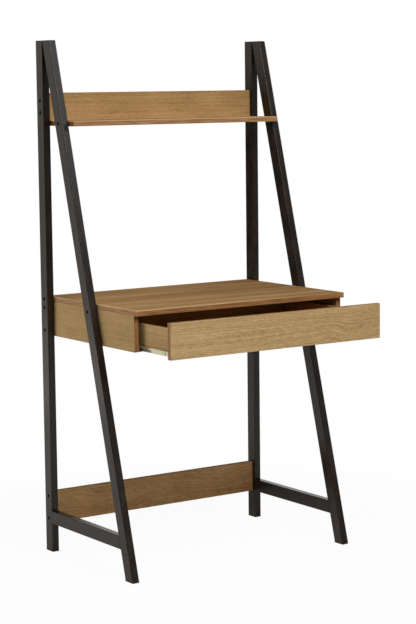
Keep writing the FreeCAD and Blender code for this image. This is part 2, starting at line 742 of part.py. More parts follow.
def add_desk_fittings():
    screws = new_piece("shelf_screws", facing)
    tail = "board_rear + long_screw_head_height"
    add_rods(screws, shelf_screw_places(), "long_screw_head", "board_rear", tail)
    add_rods(screws, shelf_screw_places(), "long_screw_radius", tail, "board_rear + long_screw_length")
    side_line = "frame_inner - board_thick / 2"
    both = [f"-({side_line})", side_line]
    dowels = new_piece("desk_dowels", standing)
    places = [(across, f"-({place})") for place in dowel_places for across in both]
    dowel_top = "top_under + dowel_in_top"
    add_rods(dowels, places, "dowel_radius", f"{dowel_top} - dowel_length", dowel_top)
    cams = new_piece("desk_cams", sideways)
    discs = [(place, "top_under - cam_drop") for place in cam_places]
    add_pair(cams, discs, "cam_radius", "desk_inner", "desk_inner + cam_depth")
    cam_bolts = new_piece("desk_cam_bolts", standing)
    places = [(across, f"-({place})") for place in cam_places for across in both]
    low = "top_under - cam_drop + cam_radius + fit_gap"
    add_rods(cam_bolts, places, "cam_bolt_radius", low, "top_under + cam_bolt_in_board")
    runner_screws = new_piece("cabinet_runner_screws", sideways)
    seats = [(place, "web_middle") for place in side_screw_places]
    web = "desk_inner - runner_sheet"
    add_pair(runner_screws, seats, "screw_radius", web, "desk_inner + screw_length")
    add_pair(runner_screws, seats, "screw_head_radius", f"{web} - screw_head_height", web)


def add_drawer_fittings():
    cams = new_piece("drawer_cams", sideways, forward="drawer_open")
    discs = [("front_seat - cam_drop", height) for height in small_cam_heights]
    add_pair(cams, discs, "small_cam_radius", "drawer_inner", "drawer_inner + small_cam_depth")
    cam_bolts = new_piece("drawer_cam_bolts", facing, forward="drawer_open")
    places = [(f"{sign} * ({side_middle})", height) for height in small_cam_heights for sign in ("-1", "1")]
    low = "front_seat - cam_drop + small_cam_radius + fit_gap"
    add_rods(cam_bolts, places, "cam_bolt_radius", low, "front_seat + cam_bolt_in_board")
    back_screws = new_piece("drawer_back_screws", sideways, forward="drawer_open")
    seats = [(back_middle, height) for height in back_screw_heights]
    tail = "drawer_outer - long_screw_head_height"
    add_pair(back_screws, seats, "long_screw_radius", "drawer_outer - long_screw_length", tail)
    add_pair(back_screws, seats, "long_screw_head", tail, "drawer_outer")
    panel_screws = new_piece("drawer_bottom_screws", standing, forward="drawer_open")
    places = [(across, f"-({back_middle})") for across in panel_screw_places]
    add_rods(panel_screws, places, "screw_radius", "panel_low", "panel_low + panel_screw_length")
    add_rods(panel_screws, places, "screw_head_radius", "panel_low - screw_head_height", "panel_low")
    runner_screws = new_piece("drawer_runner_screws", sideways, forward="drawer_open")
    seats = [(place, "web_middle") for place in drawer_screw_places]
    add_pair(runner_screws, seats, "screw_radius", "drawer_outer - screw_length", "drawer_outer")
    add_pair(runner_screws, seats, "screw_head_radius", "drawer_outer", "drawer_outer + screw_head_height")


for side in side_sign:
    add_frame(side)
    add_feet(side)
add_shelf()
add_desk()
add_drawer()
for side in side_sign:
    add_runners(side)
add_bolts()
add_desk_fittings()
add_drawer_fittings()
doc.recompute()

for item in doc.Objects:
    if "Invalid" in item.State or "Error" in item.State:
        raise RuntimeError(f"{item.Label} failed: {item.State}")
for body in pieces:
    if body.Shape.isNull() or not body.Shape.isValid():
        raise RuntimeError(f"{body.Label} has no valid shape")

os.makedirs("parts", exist_ok=True)
for body in pieces:
    body.Shape.exportStep(f"parts/{body.Label}.step")
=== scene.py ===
import math
import bmesh
import bpy
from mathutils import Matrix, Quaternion, Vector


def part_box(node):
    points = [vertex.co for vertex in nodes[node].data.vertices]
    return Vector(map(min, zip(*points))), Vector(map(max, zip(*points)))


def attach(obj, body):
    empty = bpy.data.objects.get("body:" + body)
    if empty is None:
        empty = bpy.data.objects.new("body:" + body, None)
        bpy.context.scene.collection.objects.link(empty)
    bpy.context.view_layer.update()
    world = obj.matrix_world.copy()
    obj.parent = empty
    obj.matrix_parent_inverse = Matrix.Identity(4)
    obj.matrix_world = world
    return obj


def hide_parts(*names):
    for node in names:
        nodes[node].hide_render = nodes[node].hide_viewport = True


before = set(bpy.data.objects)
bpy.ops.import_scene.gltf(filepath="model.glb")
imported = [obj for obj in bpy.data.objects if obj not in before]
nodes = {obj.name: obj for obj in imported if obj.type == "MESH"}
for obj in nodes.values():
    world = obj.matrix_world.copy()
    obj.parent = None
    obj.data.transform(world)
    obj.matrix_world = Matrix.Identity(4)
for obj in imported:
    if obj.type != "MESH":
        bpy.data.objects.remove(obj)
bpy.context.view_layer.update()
scene = bpy.context.scene
mmPerMetre = 1000
print("frame loaded:", len(nodes), "nodes")


def paint(red, green, blue):
    # screen colour, 0 to 255, as the linear colour that shaders use
    def linear(level):
        share = level / 255
        return share / 12.92 if share <= 0.04045 else ((share + 0.055) / 1.055) ** 2.4
    return (linear(red), linear(green), linear(blue), 1)


def feed(tree, socket, value):
    if isinstance(value, Signal):
        tree.links.new(value.socket, socket)
    else:
        socket.default_value = value


class Signal:
    # a node's output that can stand in Python maths
    def __init__(self, tree, socket):
        self.tree = tree
        self.socket = socket

    def maths(self, operation, first, second=0.0):
        node = self.tree.nodes.new("ShaderNodeMath")
        node.operation = operation
        feed(self.tree, node.inputs[0], first)
        feed(self.tree, node.inputs[1], second)
        return Signal(self.tree, node.outputs[0])

    def __add__(self, other):
        return self.maths("ADD", self, other)

    def __radd__(self, other):
        return self.maths("ADD", other, self)

    def __sub__(self, other):
        return self.maths("SUBTRACT", self, other)

    def __rsub__(self, other):
        return self.maths("SUBTRACT", other, self)

    def __mul__(self, other):
        return self.maths("MULTIPLY", self, other)

    def __rmul__(self, other):
        return self.maths("MULTIPLY", other, self)

    def __truediv__(self, other):
        return self.maths("DIVIDE", self, other)

    def __rtruediv__(self, other):
        return self.maths("DIVIDE", other, self)

    def __pow__(self, other):
        return self.maths("POWER", self, other)

    def __rpow__(self, other):
        return self.maths("POWER", other, self)

    def __abs__(self):
        return self.maths("ABSOLUTE", self)

    def larger(self, other):
        return self.maths("MAXIMUM", self, other)

    def fraction(self):
        return self.maths("FRACT", self)

    def swing(self, amount):
        # noise lies round a half, so this sways both ways about nothing
        return (self - 0.5) * amount


class Shading:
    # the node tree of a material or of the world
    def __init__(self, owner):
        owner.use_nodes = True
        self.owner = owner
        self.tree = owner.node_tree
        self.tree.nodes.clear()

    def node(self, kind, settings=None, sockets=None, output=0):
        made = self.tree.nodes.new("ShaderNode" + kind)
        for name, value in (settings or {}).items():
            if name == "stops":
                ramp = made.color_ramp.elements
                while len(ramp) < len(value):
                    ramp.new(1)
                for stop, (place, level) in zip(ramp, value):
                    stop.position = place
                    stop.color = (level, level, level, 1)
            else:
                setattr(made, name, value)
        for name, value in (sockets or {}).items():
            feed(self.tree, made.inputs[name], value)
        return Signal(self.tree, made.outputs[output]) if made.outputs else made

    def axes(self, kind, output):
        vector = self.node(kind, {}, {}, output)
        return [self.node("SeparateXYZ", {}, {0: vector}, letter) for letter in "XYZ"]

    def place(self):
        return [part * mmPerMetre for part in self.axes("TexCoord", "Object")]

    def facing(self):
        return self.axes("NewGeometry", "True Normal")

    def noise(self, place, scales, detail=2.0, rough=0.5):
        # scales are per mm along each axis
        scaled = {axis: value * scale for axis, (value, scale) in enumerate(zip(place, scales))}
        spot = self.node("CombineXYZ", {}, scaled)
        sockets = {"Vector": spot, "Scale": 1.0, "Detail": detail, "Roughness": rough}
        return self.node("TexNoise", {}, sockets)

    def ramp(self, value, stops):
        return self.node("ValToRGB", {"stops": stops}, {0: value})

    def step(self, value, low, high):
        return self.node("MapRange", {"interpolation_type": "SMOOTHSTEP"},
                         {"Value": value, "From Min": low, "From Max": high})

    def mix(self, share, first, second, blend="MIX"):
        settings = {"data_type": "RGBA", "blend_type": blend}
        return self.node("Mix", settings, {0: share, 6: first, 7: second}, 2)

    def tinted(self, colour, tint):
        return self.mix(1.0, colour, tint, "MULTIPLY")

    def bump(self, height, strength, depth):
        return self.node("Bump", {}, {"Height": height, "Strength": strength, "Distance": depth})

    def rays(self):
        kinds = ("Camera", "Glossy", "Transmission")
        return [self.node("LightPath", {}, {}, f"Is {kind} Ray") for kind in kinds]

    def surface(self, **sockets):
        named = {name.replace("_", " "): value for name, value in sockets.items()}
        shader = self.node("BsdfPrincipled", {}, named)
        self.node("OutputMaterial", {}, {"Surface": shader})


def newFinish(name):
    return Shading(bpy.data.materials.new(name))


def dress(nodeName, material):
    mesh = nodes[nodeName].data
    mesh.materials.clear()
    mesh.materials.append(material)


def dressBothSides(names, material):
    for side in ("left", "right"):
        for name in names:
            dress(f"{side}_{name}", material)


# Oak-grain boards.
# The grain is cut from a tree whose rings lie round a pith line beside the board, so arches show where
# the board passes close to the pith and straight lines where it lies far from it.

oakTone = {
    "light": paint(212, 182, 133),
    "dark": paint(126, 96, 55),
    "middle": 0.52,  # how far from light to dark the plain wood lies
    "contrast": 0.3,
    "pore": paint(116, 86, 52),
    "poreStrength": 0.45,
    "poreEdge": (0.55, 0.7),
    "insideShadeTint": (1.2, 0.97, 0.7, 1),  # painted shade: a redder tone for the drawer's inner faces
    "band": paint(156, 114, 74),
    "bandDark": paint(126, 86, 54),
    "bandEdge": (0.3, 0.7),
    "faceEdge": (0.3, 0.6),  # turns from edge band to broad face
    "endEdge": (0.4, 0.7),  # turns from long side to end
    "arrisFull": 0.2,  # mm from the edge at which the painted highlight on a trimmed corner shows fully
    "ringWidth": 5.5,  # mm from one year's ring to the next
    "ringTone": [(0, 0.1), (0.5, 0.34), (0.84, 0.95), (1, 0.12)],  # early wood to late wood
    "ringMiddle": 0.4,
    "sway": 30,  # mm that the rings wander
    "ripple": 9,  # mm that they ripple
    "lineSway": 14,  # mm that the fine lines wander
    "lines": 2.6,
    "fibre": 3.0,
    "rough": 0.8,
    "fibreRough": 0.16,
    "poreRough": 0.12,
    "bandSmooth": 0.2,
    "shine": 0.03,
    "fibreHeight": 0.4,
    "poreDepth": 0.8,
    "bump": (0.25, 0.0002),  # strength, and distance in metres
}

# noise along, across and through the grain
oakGrain = {
    "wander": {"scales": (0.0021, 0.011, 0.011)},
    "ripple": {"scales": (0.009, 0.06, 0.06), "detail": 3.0},
    "lines": {"scales": (0.004, 0.5, 0.5), "detail": 1.0},
    "fibre": {"scales": (0.16, 0.5, 0.5), "rough": 0.6},
    "streak": {"scales": (0.0014, 0.02, 0.02)},
    "cloud": {"scales": (0.008, 0.012, 0.012)},
    "pores": {"scales": (0.03, 0.55, 0.55)},
    "band": {"scales": (0.02, 0.4, 0.4), "detail": 3.0},
}


def upperArrisHighlight(oak, board, *place):
    # painted highlight on the trimmed corner along a board's upper edges, fading out along the board
    low, high = [[value * mmPerMetre for value in corner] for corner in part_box(board["node"])]
    near = []
    for letter, value, width in zip(board["grain"], place, board["arris"]["widths"]):
        side = "xyz".index(letter)
        middle, half = (low[side] + high[side]) / 2, (high[side] - low[side]) / 2
        near.append(oak.step(abs(value - middle), half - width, half - oakTone["arrisFull"]))
    upper = oak.step(place[2], (low[2] + high[2]) / 2, high[2])
    # the painted highlight fades out along the board
    wearAndHighlight = 1 - oak.step(place[0], *board["arris"]["fade"])
    return near[0].larger(near[1]) * near[2] * upper * wearAndHighlight


def wavyLines(oak, board, wander, length, across):
    # where the fine lines run, lifted or lowered round each swirl
    wavy = across + wander.swing(oakTone["lineSway"])
    for swirl in board.get("swirls", []):
        fromSide = (length - swirl["place"][0]) / swirl["spread"][0]
        fromBelow = (across - swirl["place"][1]) / swirl["spread"][1]
        away = (fromSide * fromSide + fromBelow * fromBelow) ** 0.5
        wavy = wavy + (1 - oak.step(away, 0, 1)) * swirl["lift"]
    return wavy


def edgeBand(oak, board, end, along, across, depth):
    # the band's grain runs along the strip, so it turns at the board's ends
    sideGrain = oak.noise((along, across, depth), **oakGrain["band"])
    endGrain = oak.noise((across, along, depth), **oakGrain["band"])
    grain = sideGrain * (1 - end) + endGrain * end
    strip = oak.mix(oak.step(grain, *oakTone["bandEdge"]), oakTone["band"], oakTone["bandDark"])
    return oak.tinted(strip, oak.mix(end, board["bandTint"], board["endTint"]))


def oakBoard(board):
    tone, grain = oakTone, oakGrain
    oak = newFinish("oak_" + board["node"])
    place = dict(zip("xyz", oak.place()))
    facing = dict(zip("xyz", oak.facing()))
    length, across, depth = [place[letter] for letter in board["grain"]]
    endFace, broadFace = facing[board["grain"][0]], facing[board["grain"][2]]
    along = length + board["shift"]
    wander = oak.noise((along, across, depth), **grain["wander"])
    ripple = oak.noise((along, across, depth), **grain["ripple"])
    aside = across - board["pith"][0] + wander.swing(tone["sway"])
    below = depth - board["pith"][1] + along * board["climb"]
    radius = (aside * aside + below * below) ** 0.5
    ring = (radius + ripple.swing(tone["ripple"])) / tone["ringWidth"]
    late = oak.ramp(ring.fraction(), tone["ringTone"])
    wavy = wavyLines(oak, board, wander, length, across)
    lines = oak.noise((along, wavy, depth), **grain["lines"])
    fibre = oak.noise((along, wavy, depth), **grain["fibre"])
    streak = oak.noise((along, wavy, depth), **grain["streak"])
    cloud = oak.noise((along, across, depth), **grain["cloud"])
    pores = oak.step(oak.noise((along, wavy, depth), **grain["pores"]), *tone["poreEdge"])
    fine = board.get("fine", 1.0)  # how strongly the fine lines show
    figure = (late - tone["ringMiddle"]) * board["arches"]
    figure = figure + lines.swing(tone["lines"]) * fine + fibre.swing(tone["fibre"]) * fine
    drift = streak.swing(board["streaks"]) + cloud.swing(board["clouds"])
    # painted shade: the wood darkens or lightens along slopes across and along the board
    fromMiddle = across - board.get("fadeMiddle", 0)
    paintedShadeSlope = fromMiddle * board.get("fade", 0) + length * board.get("paintedShadeAlong", 0)
    shade = (figure + drift + paintedShadeSlope) * tone["contrast"] + tone["middle"]
    wood = oak.mix(shade, tone["light"], tone["dark"])
    wood = oak.mix(pores * tone["poreStrength"] * fine, wood, tone["pore"])
    wood = oak.tinted(wood, board["tint"])
    # the drawer's inner faces take a redder painted shade tone
    if "inside" in board:
        inner = oak.step(broadFace * board["inside"], *tone["faceEdge"])
        wood = oak.mix(inner, wood, oak.tinted(wood, tone["insideShadeTint"]))
    # smooth edge band on the four narrow sides
    band = 1 - oak.step(abs(broadFace), *tone["faceEdge"])
    end = oak.step(abs(endFace), *tone["endEdge"])
    colour = oak.mix(band, wood, edgeBand(oak, board, end, along, across, depth))
    if "arris" in board:
        # painted highlight on the upper edges
        colour = oak.mix(upperArrisHighlight(oak, board, length, across, depth), colour, board["arris"]["colour"])
    grainRough = fibre.swing(tone["fibreRough"]) + pores * tone["poreRough"]
    height = fibre * tone["fibreHeight"] - pores * tone["poreDepth"]
    oak.surface(
        Base_Color=colour,
        Roughness=tone["rough"] + grainRough - band * tone["bandSmooth"],
        Specular_IOR_Level=tone["shine"],
        Normal=oak.bump(height, *tone["bump"]),
    )
    dress(board["node"], oak.owner)


# In each board, grain names the axes along, across and through the wood. Pith, shift, fadeMiddle, swirls
# and the painted arris highlight are in mm. Fade and the length fade are painted shade: how much darker the
# wood gets for each mm across and along it. Inside is the way that a drawer board's inner face looks, 1 or
# -1 along its last axis, and that face takes a painted shade tone.

plainTint = (1, 1, 1, 1)

# the top's darker, redder tint is partly print tone and partly painted shade, as the top takes less light
# than the front faces
deskTop = {"node": "desk_top", "grain": "xyz", "pith": (-60, 560), "climb": 0.03, "shift": 210,
           "arches": 0.4, "streaks": 4.0, "clouds": 0.6, "fade": 0.0024, "paintedShadeAlong": 0.001,
           "tint": (0.905, 0.81, 0.745, 1), "bandTint": (1.06, 1.08, 1.02, 1),
           "endTint": (1.32, 1.6, 2.0, 1),
           "arris": {"widths": (6, 2.6, 2.2), "fade": (-200, 250), "colour": paint(222, 186, 146)}}
oakBoard(deskTop)

deskLeftSide = {"node": "desk_left_side", "grain": "yzx", "pith": (640, -100), "climb": 0.05, "shift": 90,
                "arches": 0.2, "streaks": 1.0, "clouds": 1.6, "fine": 0.5, "tint": plainTint,
                "bandTint": (0.82, 0.8, 0.75, 1), "endTint": (0.86, 0.84, 0.8, 1)}
oakBoard(deskLeftSide)

deskRightSide = {**deskLeftSide, "node": "desk_right_side", "pith": (660, 120), "shift": 400}
oakBoard(deskRightSide)

deskBackPanel = {"node": "desk_back_panel", "grain": "xzy", "pith": (610, 420), "climb": 0.04, "shift": 760,
                 "arches": 0.2, "streaks": 1.2, "clouds": 0.8,
                 "tint": (0.92, 0.83, 0.76, 1), "bandTint": plainTint, "endTint": plainTint}
oakBoard(deskBackPanel)

# the shelf's tint is partly print tone and partly a painted sheen on its top, and its darker end bands are
# painted shade between the tubes
shelfBoard = {"node": "shelf_board", "grain": "xyz", "pith": (300, 1150), "climb": 0.03, "shift": 1300,
              "arches": 0.2, "streaks": 1.2, "clouds": 0.8, "tint": (1.02, 0.95, 0.9, 1),
              "bandTint": (1.23, 1.4, 1.55, 1), "endTint": (0.64, 0.58, 0.5, 1),
              "arris": {"widths": (2, 4, 4), "fade": (500, 600), "colour": paint(206, 167, 125)}}
oakBoard(shelfBoard)

shelfBackBoard = {"node": "shelf_back_board", "grain": "xzy", "pith": (1240, 480), "climb": 0.05,
                  "shift": 1700, "arches": 0.2, "streaks": 1.3, "clouds": 1.3, "fine": 0.9,
                  "fade": 0.01, "fadeMiddle": 1326, "paintedShadeAlong": 0.0004,
                  "tint": (0.87, 0.775, 0.695, 1), "bandTint": (1.2, 1.33, 1.4, 1), "endTint": plainTint}
oakBoard(shelfBackBoard)

lowerBackBoard = {"node": "lower_back_board", "grain": "xzy", "pith": (118, 395), "climb": 0.11,
                  "shift": 2250, "arches": 0.35, "streaks": 1.8, "clouds": 1.6, "fine": 0.9,
                  "fade": -0.015, "fadeMiddle": 132, "paintedShadeAlong": 0.0008,
                  "tint": (0.94, 0.815, 0.755, 1), "bandTint": plainTint, "endTint": plainTint,
                  "swirls": [{"place": (-190, 140), "spread": (120, 80), "lift": 20},
                             {"place": (20, 118), "spread": (130, 70), "lift": -18},
                             {"place": (235, 150), "spread": (110, 70), "lift": 16}]}
oakBoard(lowerBackBoard)

drawerFront = {"node": "drawer_front", "grain": "xzy", "pith": (684, -395), "climb": 0.12, "shift": -150,
               "arches": 0.3, "streaks": 0.6, "clouds": 0.4, "paintedShadeAlong": 0.0005,
               "tint": (1.05, 1.045, 1.06, 1), "bandTint": (0.84, 0.87, 0.92, 1),
               "endTint": (1.28, 1.44, 1.85, 1), "inside": 1,
               "swirls": [{"place": (172, 668), "spread": (55, 50), "lift": -9},
                          {"place": (256, 676), "spread": (80, 62), "lift": 14}]}
oakBoard(drawerFront)

drawerLeftSide = {"node": "drawer_left_side", "grain": "yzx", "pith": (600, -230), "climb": 0.04,
                  "shift": 3100, "arches": 0.2, "streaks": 0.8, "clouds": 0.6, "fine": 0.7,
                  "tint": (1.1, 1.09, 1.11, 1), "bandTint": (0.84, 0.8, 0.72, 1), "endTint": plainTint,
                  "inside": 1}
oakBoard(drawerLeftSide)

drawerRightSide = {**drawerLeftSide, "node": "drawer_right_side", "pith": (600, 230), "shift": 3600,
                   "inside": -1}
oakBoard(drawerRightSide)

drawerBack = {"node": "drawer_back", "grain": "xzy", "pith": (640, 300), "climb": 0.05, "shift": 4100,
              "arches": 0.2, "streaks": 0.8, "clouds": 0.6,
              "tint": plainTint, "bandTint": (1.2, 1.25, 1.3, 1), "endTint": plainTint, "inside": -1}
oakBoard(drawerBack)

print("oak boards dressed")

# Thin drawer bottom: grain print above, bare fibreboard below and on its edges.

thinPanel = {
    "node": "drawer_bottom",
    "print": paint(140, 102, 62),
    "printDark": paint(112, 78, 44),
    "printGrain": {"scales": (0.006, 0.18, 0.1), "detail": 4.0, "rough": 0.6},
    "fibre": paint(128, 92, 58),
    "fibreDark": paint(98, 68, 42),
    "fluff": {"scales": (0.7, 0.7, 0.7), "detail": 4.0, "rough": 0.7},
    "toneEdge": (0.3, 0.7),
    "faceEdge": (0.3, 0.6),
    "rough": 0.78,
    "printSmooth": 0.24,
    "fluffRough": 0.1,
    "bump": (0.3, 0.0002),
}


def fibrePanel(panel):
    board = newFinish("thin_panel")
    place = board.place()
    grain = board.noise(place, **panel["printGrain"])
    fluff = board.noise(place, **panel["fluff"])
    top = board.mix(board.step(grain, *panel["toneEdge"]), panel["print"], panel["printDark"])
    raw = board.mix(board.step(fluff, *panel["toneEdge"]), panel["fibre"], panel["fibreDark"])
    face = board.step(board.facing()[2], *panel["faceEdge"])
    board.surface(
        Base_Color=board.mix(face, raw, top),
        Roughness=panel["rough"] - face * panel["printSmooth"] + fluff.swing(panel["fluffRough"]),
        Normal=board.bump(fluff * (1 - face), *panel["bump"]),
    )
    dress(panel["node"], board.owner)


fibrePanel(thinPanel)

# Powder-coated tube frames.

powderCoat = {
    "nodes": ["rear_upright", "front_leg", "side_rail", "top_plate"],
    "coat": paint(29, 22, 18),
    "thin": paint(40, 32, 27),
    "cloud": {"scales": (0.03, 0.03, 0.012), "detail": 4.0, "rough": 0.6},
    "cloudEdge": (0.35, 0.75),
    "cloudRough": 0.2,
    "peel": {"scales": (0.9, 0.9, 0.9)},
    "peelRough": 0.08,
    "rough": 0.265,
    "shine": 0.35,
    "shineTint": (1, 0.94, 0.86, 1),
    "bump": (0.2, 0.0003),
}


def coatFrames(coat):
    steel = newFinish("black_powder_coat")
    place = steel.place()
    peel = steel.noise(place, **coat["peel"])
    cloud = steel.noise(place, **coat["cloud"])
    steel.surface(
        Base_Color=steel.mix(steel.step(cloud, *coat["cloudEdge"]), coat["coat"], coat["thin"]),
        Roughness=coat["rough"] + cloud.swing(coat["cloudRough"]) + peel.swing(coat["peelRough"]),
        Specular_IOR_Level=coat["shine"],
        Specular_Tint=coat["shineTint"],
        Normal=steel.bump(peel, *coat["bump"]),
    )
    dressBothSides(coat["nodes"], steel.owner)


coatFrames(powderCoat)

# Moulded end caps under the tubes.

footCap = {
    "nodes": ["rear_foot", "front_foot"],
    "plastic": paint(22, 21, 20),
    "scuff": paint(48, 46, 44),
    "scuffs": {"scales": (0.12, 0.12, 0.5), "detail": 4.0, "rough": 0.65},
    "scuffEdge": (0.56, 0.72),
    "scuffTop": (0.5, 3.0),  # mm above the floor over which the scuffs end
    "spark": {"scales": (2.2, 2.2, 2.2)},
    "sparkRough": 0.2,
    "rough": 0.55,
    "bump": (0.2, 0.0002),
}


def mouldCaps(cap):
    plastic = newFinish("black_cap_plastic")
    place = plastic.place()
    spark = plastic.noise(place, **cap["spark"])
    scuff = plastic.step(plastic.noise(place, **cap["scuffs"]), *cap["scuffEdge"])
    low = 1 - plastic.step(place[2], *cap["scuffTop"])
    plastic.surface(
        Base_Color=plastic.mix(scuff * low, cap["plastic"], cap["scuff"]),
        Roughness=cap["rough"] + spark.swing(cap["sparkRough"]),
        Normal=plastic.bump(spark, *cap["bump"]),
    )
    dressBothSides(cap["nodes"], plastic.owner)


mouldCaps(footCap)

# Cream epoxy on the pressed runners, with painted shadow over each runner's rear part and painted shade
# along its lower edge.

runnerCoat = {
    "nodes": ["cabinet_runner", "drawer_runner"],
    "cream": paint(222, 220, 188),
    "grime": paint(176, 164, 132),
    # painted shadow colour, for the rear part and the lower edge
    "paintedShadow": paint(92, 72, 46),
    "paintedShadowEdge": (-196, -186),  # mm along y, from the unshaded front to the rear in painted shadow
    "lowerEdgeShade": (0.2, 1.6),  # mm above the runner's lowest edge over which the painted shade along the lower edge ends
    "paintedShadowStrength": 0.85,
    "lowerEdgeShadeStrength": 0.8,
    "peel": {"scales": (1.1, 1.1, 1.1)},
    "peelRough": 0.14,
    "rub": {"scales": (0.3, 0.012, 0.3), "detail": 4.0, "rough": 0.6},
    "rubEdge": (0.5, 0.75),
    "rubStrength": 0.5,
    "rubRough": 0.1,
    "shadowWobble": {"scales": (0.2, 0.15, 0.4)},
    "shadowWobbleSway": 8,  # mm
    "rough": 0.34,
    "bump": (0.12, 0.0002),
}


def coatRunners(coat):
    epoxy = newFinish("cream_epoxy")
    x, y, z = epoxy.place()
    peel = epoxy.noise((x, y, z), **coat["peel"])
    rub = epoxy.step(epoxy.noise((x, y, z), **coat["rub"]), *coat["rubEdge"])
    shadowWobble = epoxy.noise((x, y, z), **coat["shadowWobble"])
    # painted shadow over the rear part, its edge wobbled by noise
    paintedShadowMask = epoxy.step(y + shadowWobble.swing(coat["shadowWobbleSway"]), *coat["paintedShadowEdge"])
    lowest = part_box("left_drawer_runner")[0][2] * mmPerMetre
    # painted shade along the lower edge
    lowerEdgeShade = 1 - epoxy.step(z, *[lowest + height for height in coat["lowerEdgeShade"]])
    unshadedCoat = epoxy.mix(rub * coat["rubStrength"], coat["cream"], coat["grime"])
    # painted shadow and painted shade together
    paintedShade = (paintedShadowMask * coat["paintedShadowStrength"]).larger(lowerEdgeShade * coat["lowerEdgeShadeStrength"])
    epoxy.surface(
        Base_Color=epoxy.mix(paintedShade, unshadedCoat, coat["paintedShadow"]),
        Roughness=coat["rough"] + peel.swing(coat["peelRough"]) + rub * coat["rubRough"],
        Normal=epoxy.bump(peel, *coat["bump"]),
    )
    dressBothSides(coat["nodes"], epoxy.owner)


coatRunners(runnerCoat)

# Nylon rollers.

roller = {
    "nodes": ["front_roller", "rear_roller"],
    "nylon": paint(34, 34, 36),
    "wearAndHighlight": paint(58, 58, 60),
    "grain": {"scales": (1.5, 1.5, 1.5), "detail": 3.0},
    "grainRough": 0.2,
    "wear": {"scales": (2.5, 0.3, 0.3), "detail": 3.0},
    "wearEdge": (0.5, 0.7),
    "wearStrength": 0.6,
    "rough": 0.42,
    "bump": (0.1, 0.0002),
}


def mouldRollers(wheel):
    nylon = newFinish("roller_nylon")
    place = nylon.place()
    grain = nylon.noise(place, **wheel["grain"])
    wearAndHighlight = nylon.step(nylon.noise(place, **wheel["wear"]), *wheel["wearEdge"])
    nylon.surface(
        Base_Color=nylon.mix(wearAndHighlight * wheel["wearStrength"], wheel["nylon"], wheel["wearAndHighlight"]),
        Roughness=wheel["rough"] + grain.swing(wheel["grainRough"]),
        Normal=nylon.bump(grain, *wheel["bump"]),
    )
    dressBothSides(wheel["nodes"], nylon.owner)


mouldRollers(roller)

# Zinc-plated fasteners.

zincPlate = {
    "nodes": ["threaded_inserts", "shelf_screws", "desk_cams", "desk_cam_bolts", "drawer_cams",
              "drawer_cam_bolts", "drawer_back_screws", "drawer_bottom_screws"],
    "pins": ["front_roller_pin", "rear_roller_pin"],
    "zinc": paint(186, 186, 182),
    "dull": paint(138, 138, 132),
    "cloud": {"scales": (0.35, 0.35, 0.35), "detail": 3.0},
    "cloudEdge": (0.3, 0.7),
    "cloudMetal": 0.1,
    "brush": {"scales": (3.0, 3.0, 0.5)},
    "brushRough": 0.2,
    "metal": 0.92,
    "rough": 0.34,
    "bump": (0.08, 0.0001),
}


def plateFasteners(plate):
    zinc = newFinish("zinc_plate")
    place = zinc.place()
    cloud = zinc.noise(place, **plate["cloud"])
    brush = zinc.noise(place, **plate["brush"])
    zinc.surface(
        Base_Color=zinc.mix(zinc.step(cloud, *plate["cloudEdge"]), plate["zinc"], plate["dull"]),
        Metallic=plate["metal"] + cloud.swing(plate["cloudMetal"]),
        Roughness=plate["rough"] + brush.swing(plate["brushRough"]),
        Normal=zinc.bump(brush, *plate["bump"]),
    )
    for name in plate["nodes"]:
        dress(name, zinc.owner)
    dressBothSides(plate["pins"], zinc.owner)
    return zinc.owner


zincFinish = plateFasteners(zincPlate)

# Black zinc on the bolts and screws that show.

blackZinc = {
    "nodes": ["frame_bolts", "desk_back_bolts", "cabinet_runner_screws", "drawer_runner_screws"],
    "black": paint(26, 25, 24),
    "rubbed": paint(60, 58, 55),
    "cloud": {"scales": (0.4, 0.4, 0.4), "detail": 3.0},
    "cloudMetal": 0.3,
    "cloudRough": 0.2,
    "rub": {"scales": (1.4, 1.4, 1.4), "detail": 3.0, "rough": 0.65},
    "rubEdge": (0.56, 0.74),
    "rubStrength": 0.6,
    "metal": 0.5,
    "rough": 0.42,
    "bump": (0.1, 0.0001),
}


def blackenFasteners(plate):
    steel = newFinish("black_zinc")
    place = steel.place()
    cloud = steel.noise(place, **plate["cloud"])
    rub = steel.step(steel.noise(place, **plate["rub"]), *plate["rubEdge"])
    steel.surface(
        Base_Color=steel.mix(rub * plate["rubStrength"], plate["black"], plate["rubbed"]),
        Metallic=plate["metal"] + cloud.swing(plate["cloudMetal"]),
        Roughness=plate["rough"] + cloud.swing(plate["cloudRough"]),
        Normal=steel.bump(rub, *plate["bump"]),
    )
    for name in plate["nodes"]:
        dress(name, steel.owner)
    return steel.owner


blackFinish = blackenFasteners(blackZinc)

# Round fasteners with a drive recess, each in the place of a six-sided one.

fastenerMake = {
    "segments": 24,
    "sharpAngle": 32,  # degrees past which an edge stays sharp
    "spin": 0.7,  # turn of each fastener after the one before it, in radians
    "armWidth": 0.32,  # half the width of a cross recess, against its reach
    "weld": 0.000001,  # metres, as are the next two
    "sameLevel": 0.00001,
    "sameWidth": 0.0001,
}


def roundOutline(angle):
    return 1


def hexOutline(angle):
    return math.cos(math.pi / 6) / math.cos(angle % (math.pi / 3) - math.pi / 6)


def crossOutline(angle):
    wide, narrow = sorted((abs(math.cos(angle)), abs(math.sin(angle))), reverse=True)
    return min(1 / wide, fastenerMake["armWidth"] / max(narrow, 0.001))  # never divides by nothing


def headAndBody(recessOutline, recess, body):
    rings = [(depth, radius, recessOutline) for depth, radius in recess]
    return rings + [(depth, radius, roundOutline) for depth, radius in body]


# Each profile runs from the recess floor over the head to the tail, as depths below the face and radii.
# They are shares of the head's radius and height, the neck's radius and the whole length.

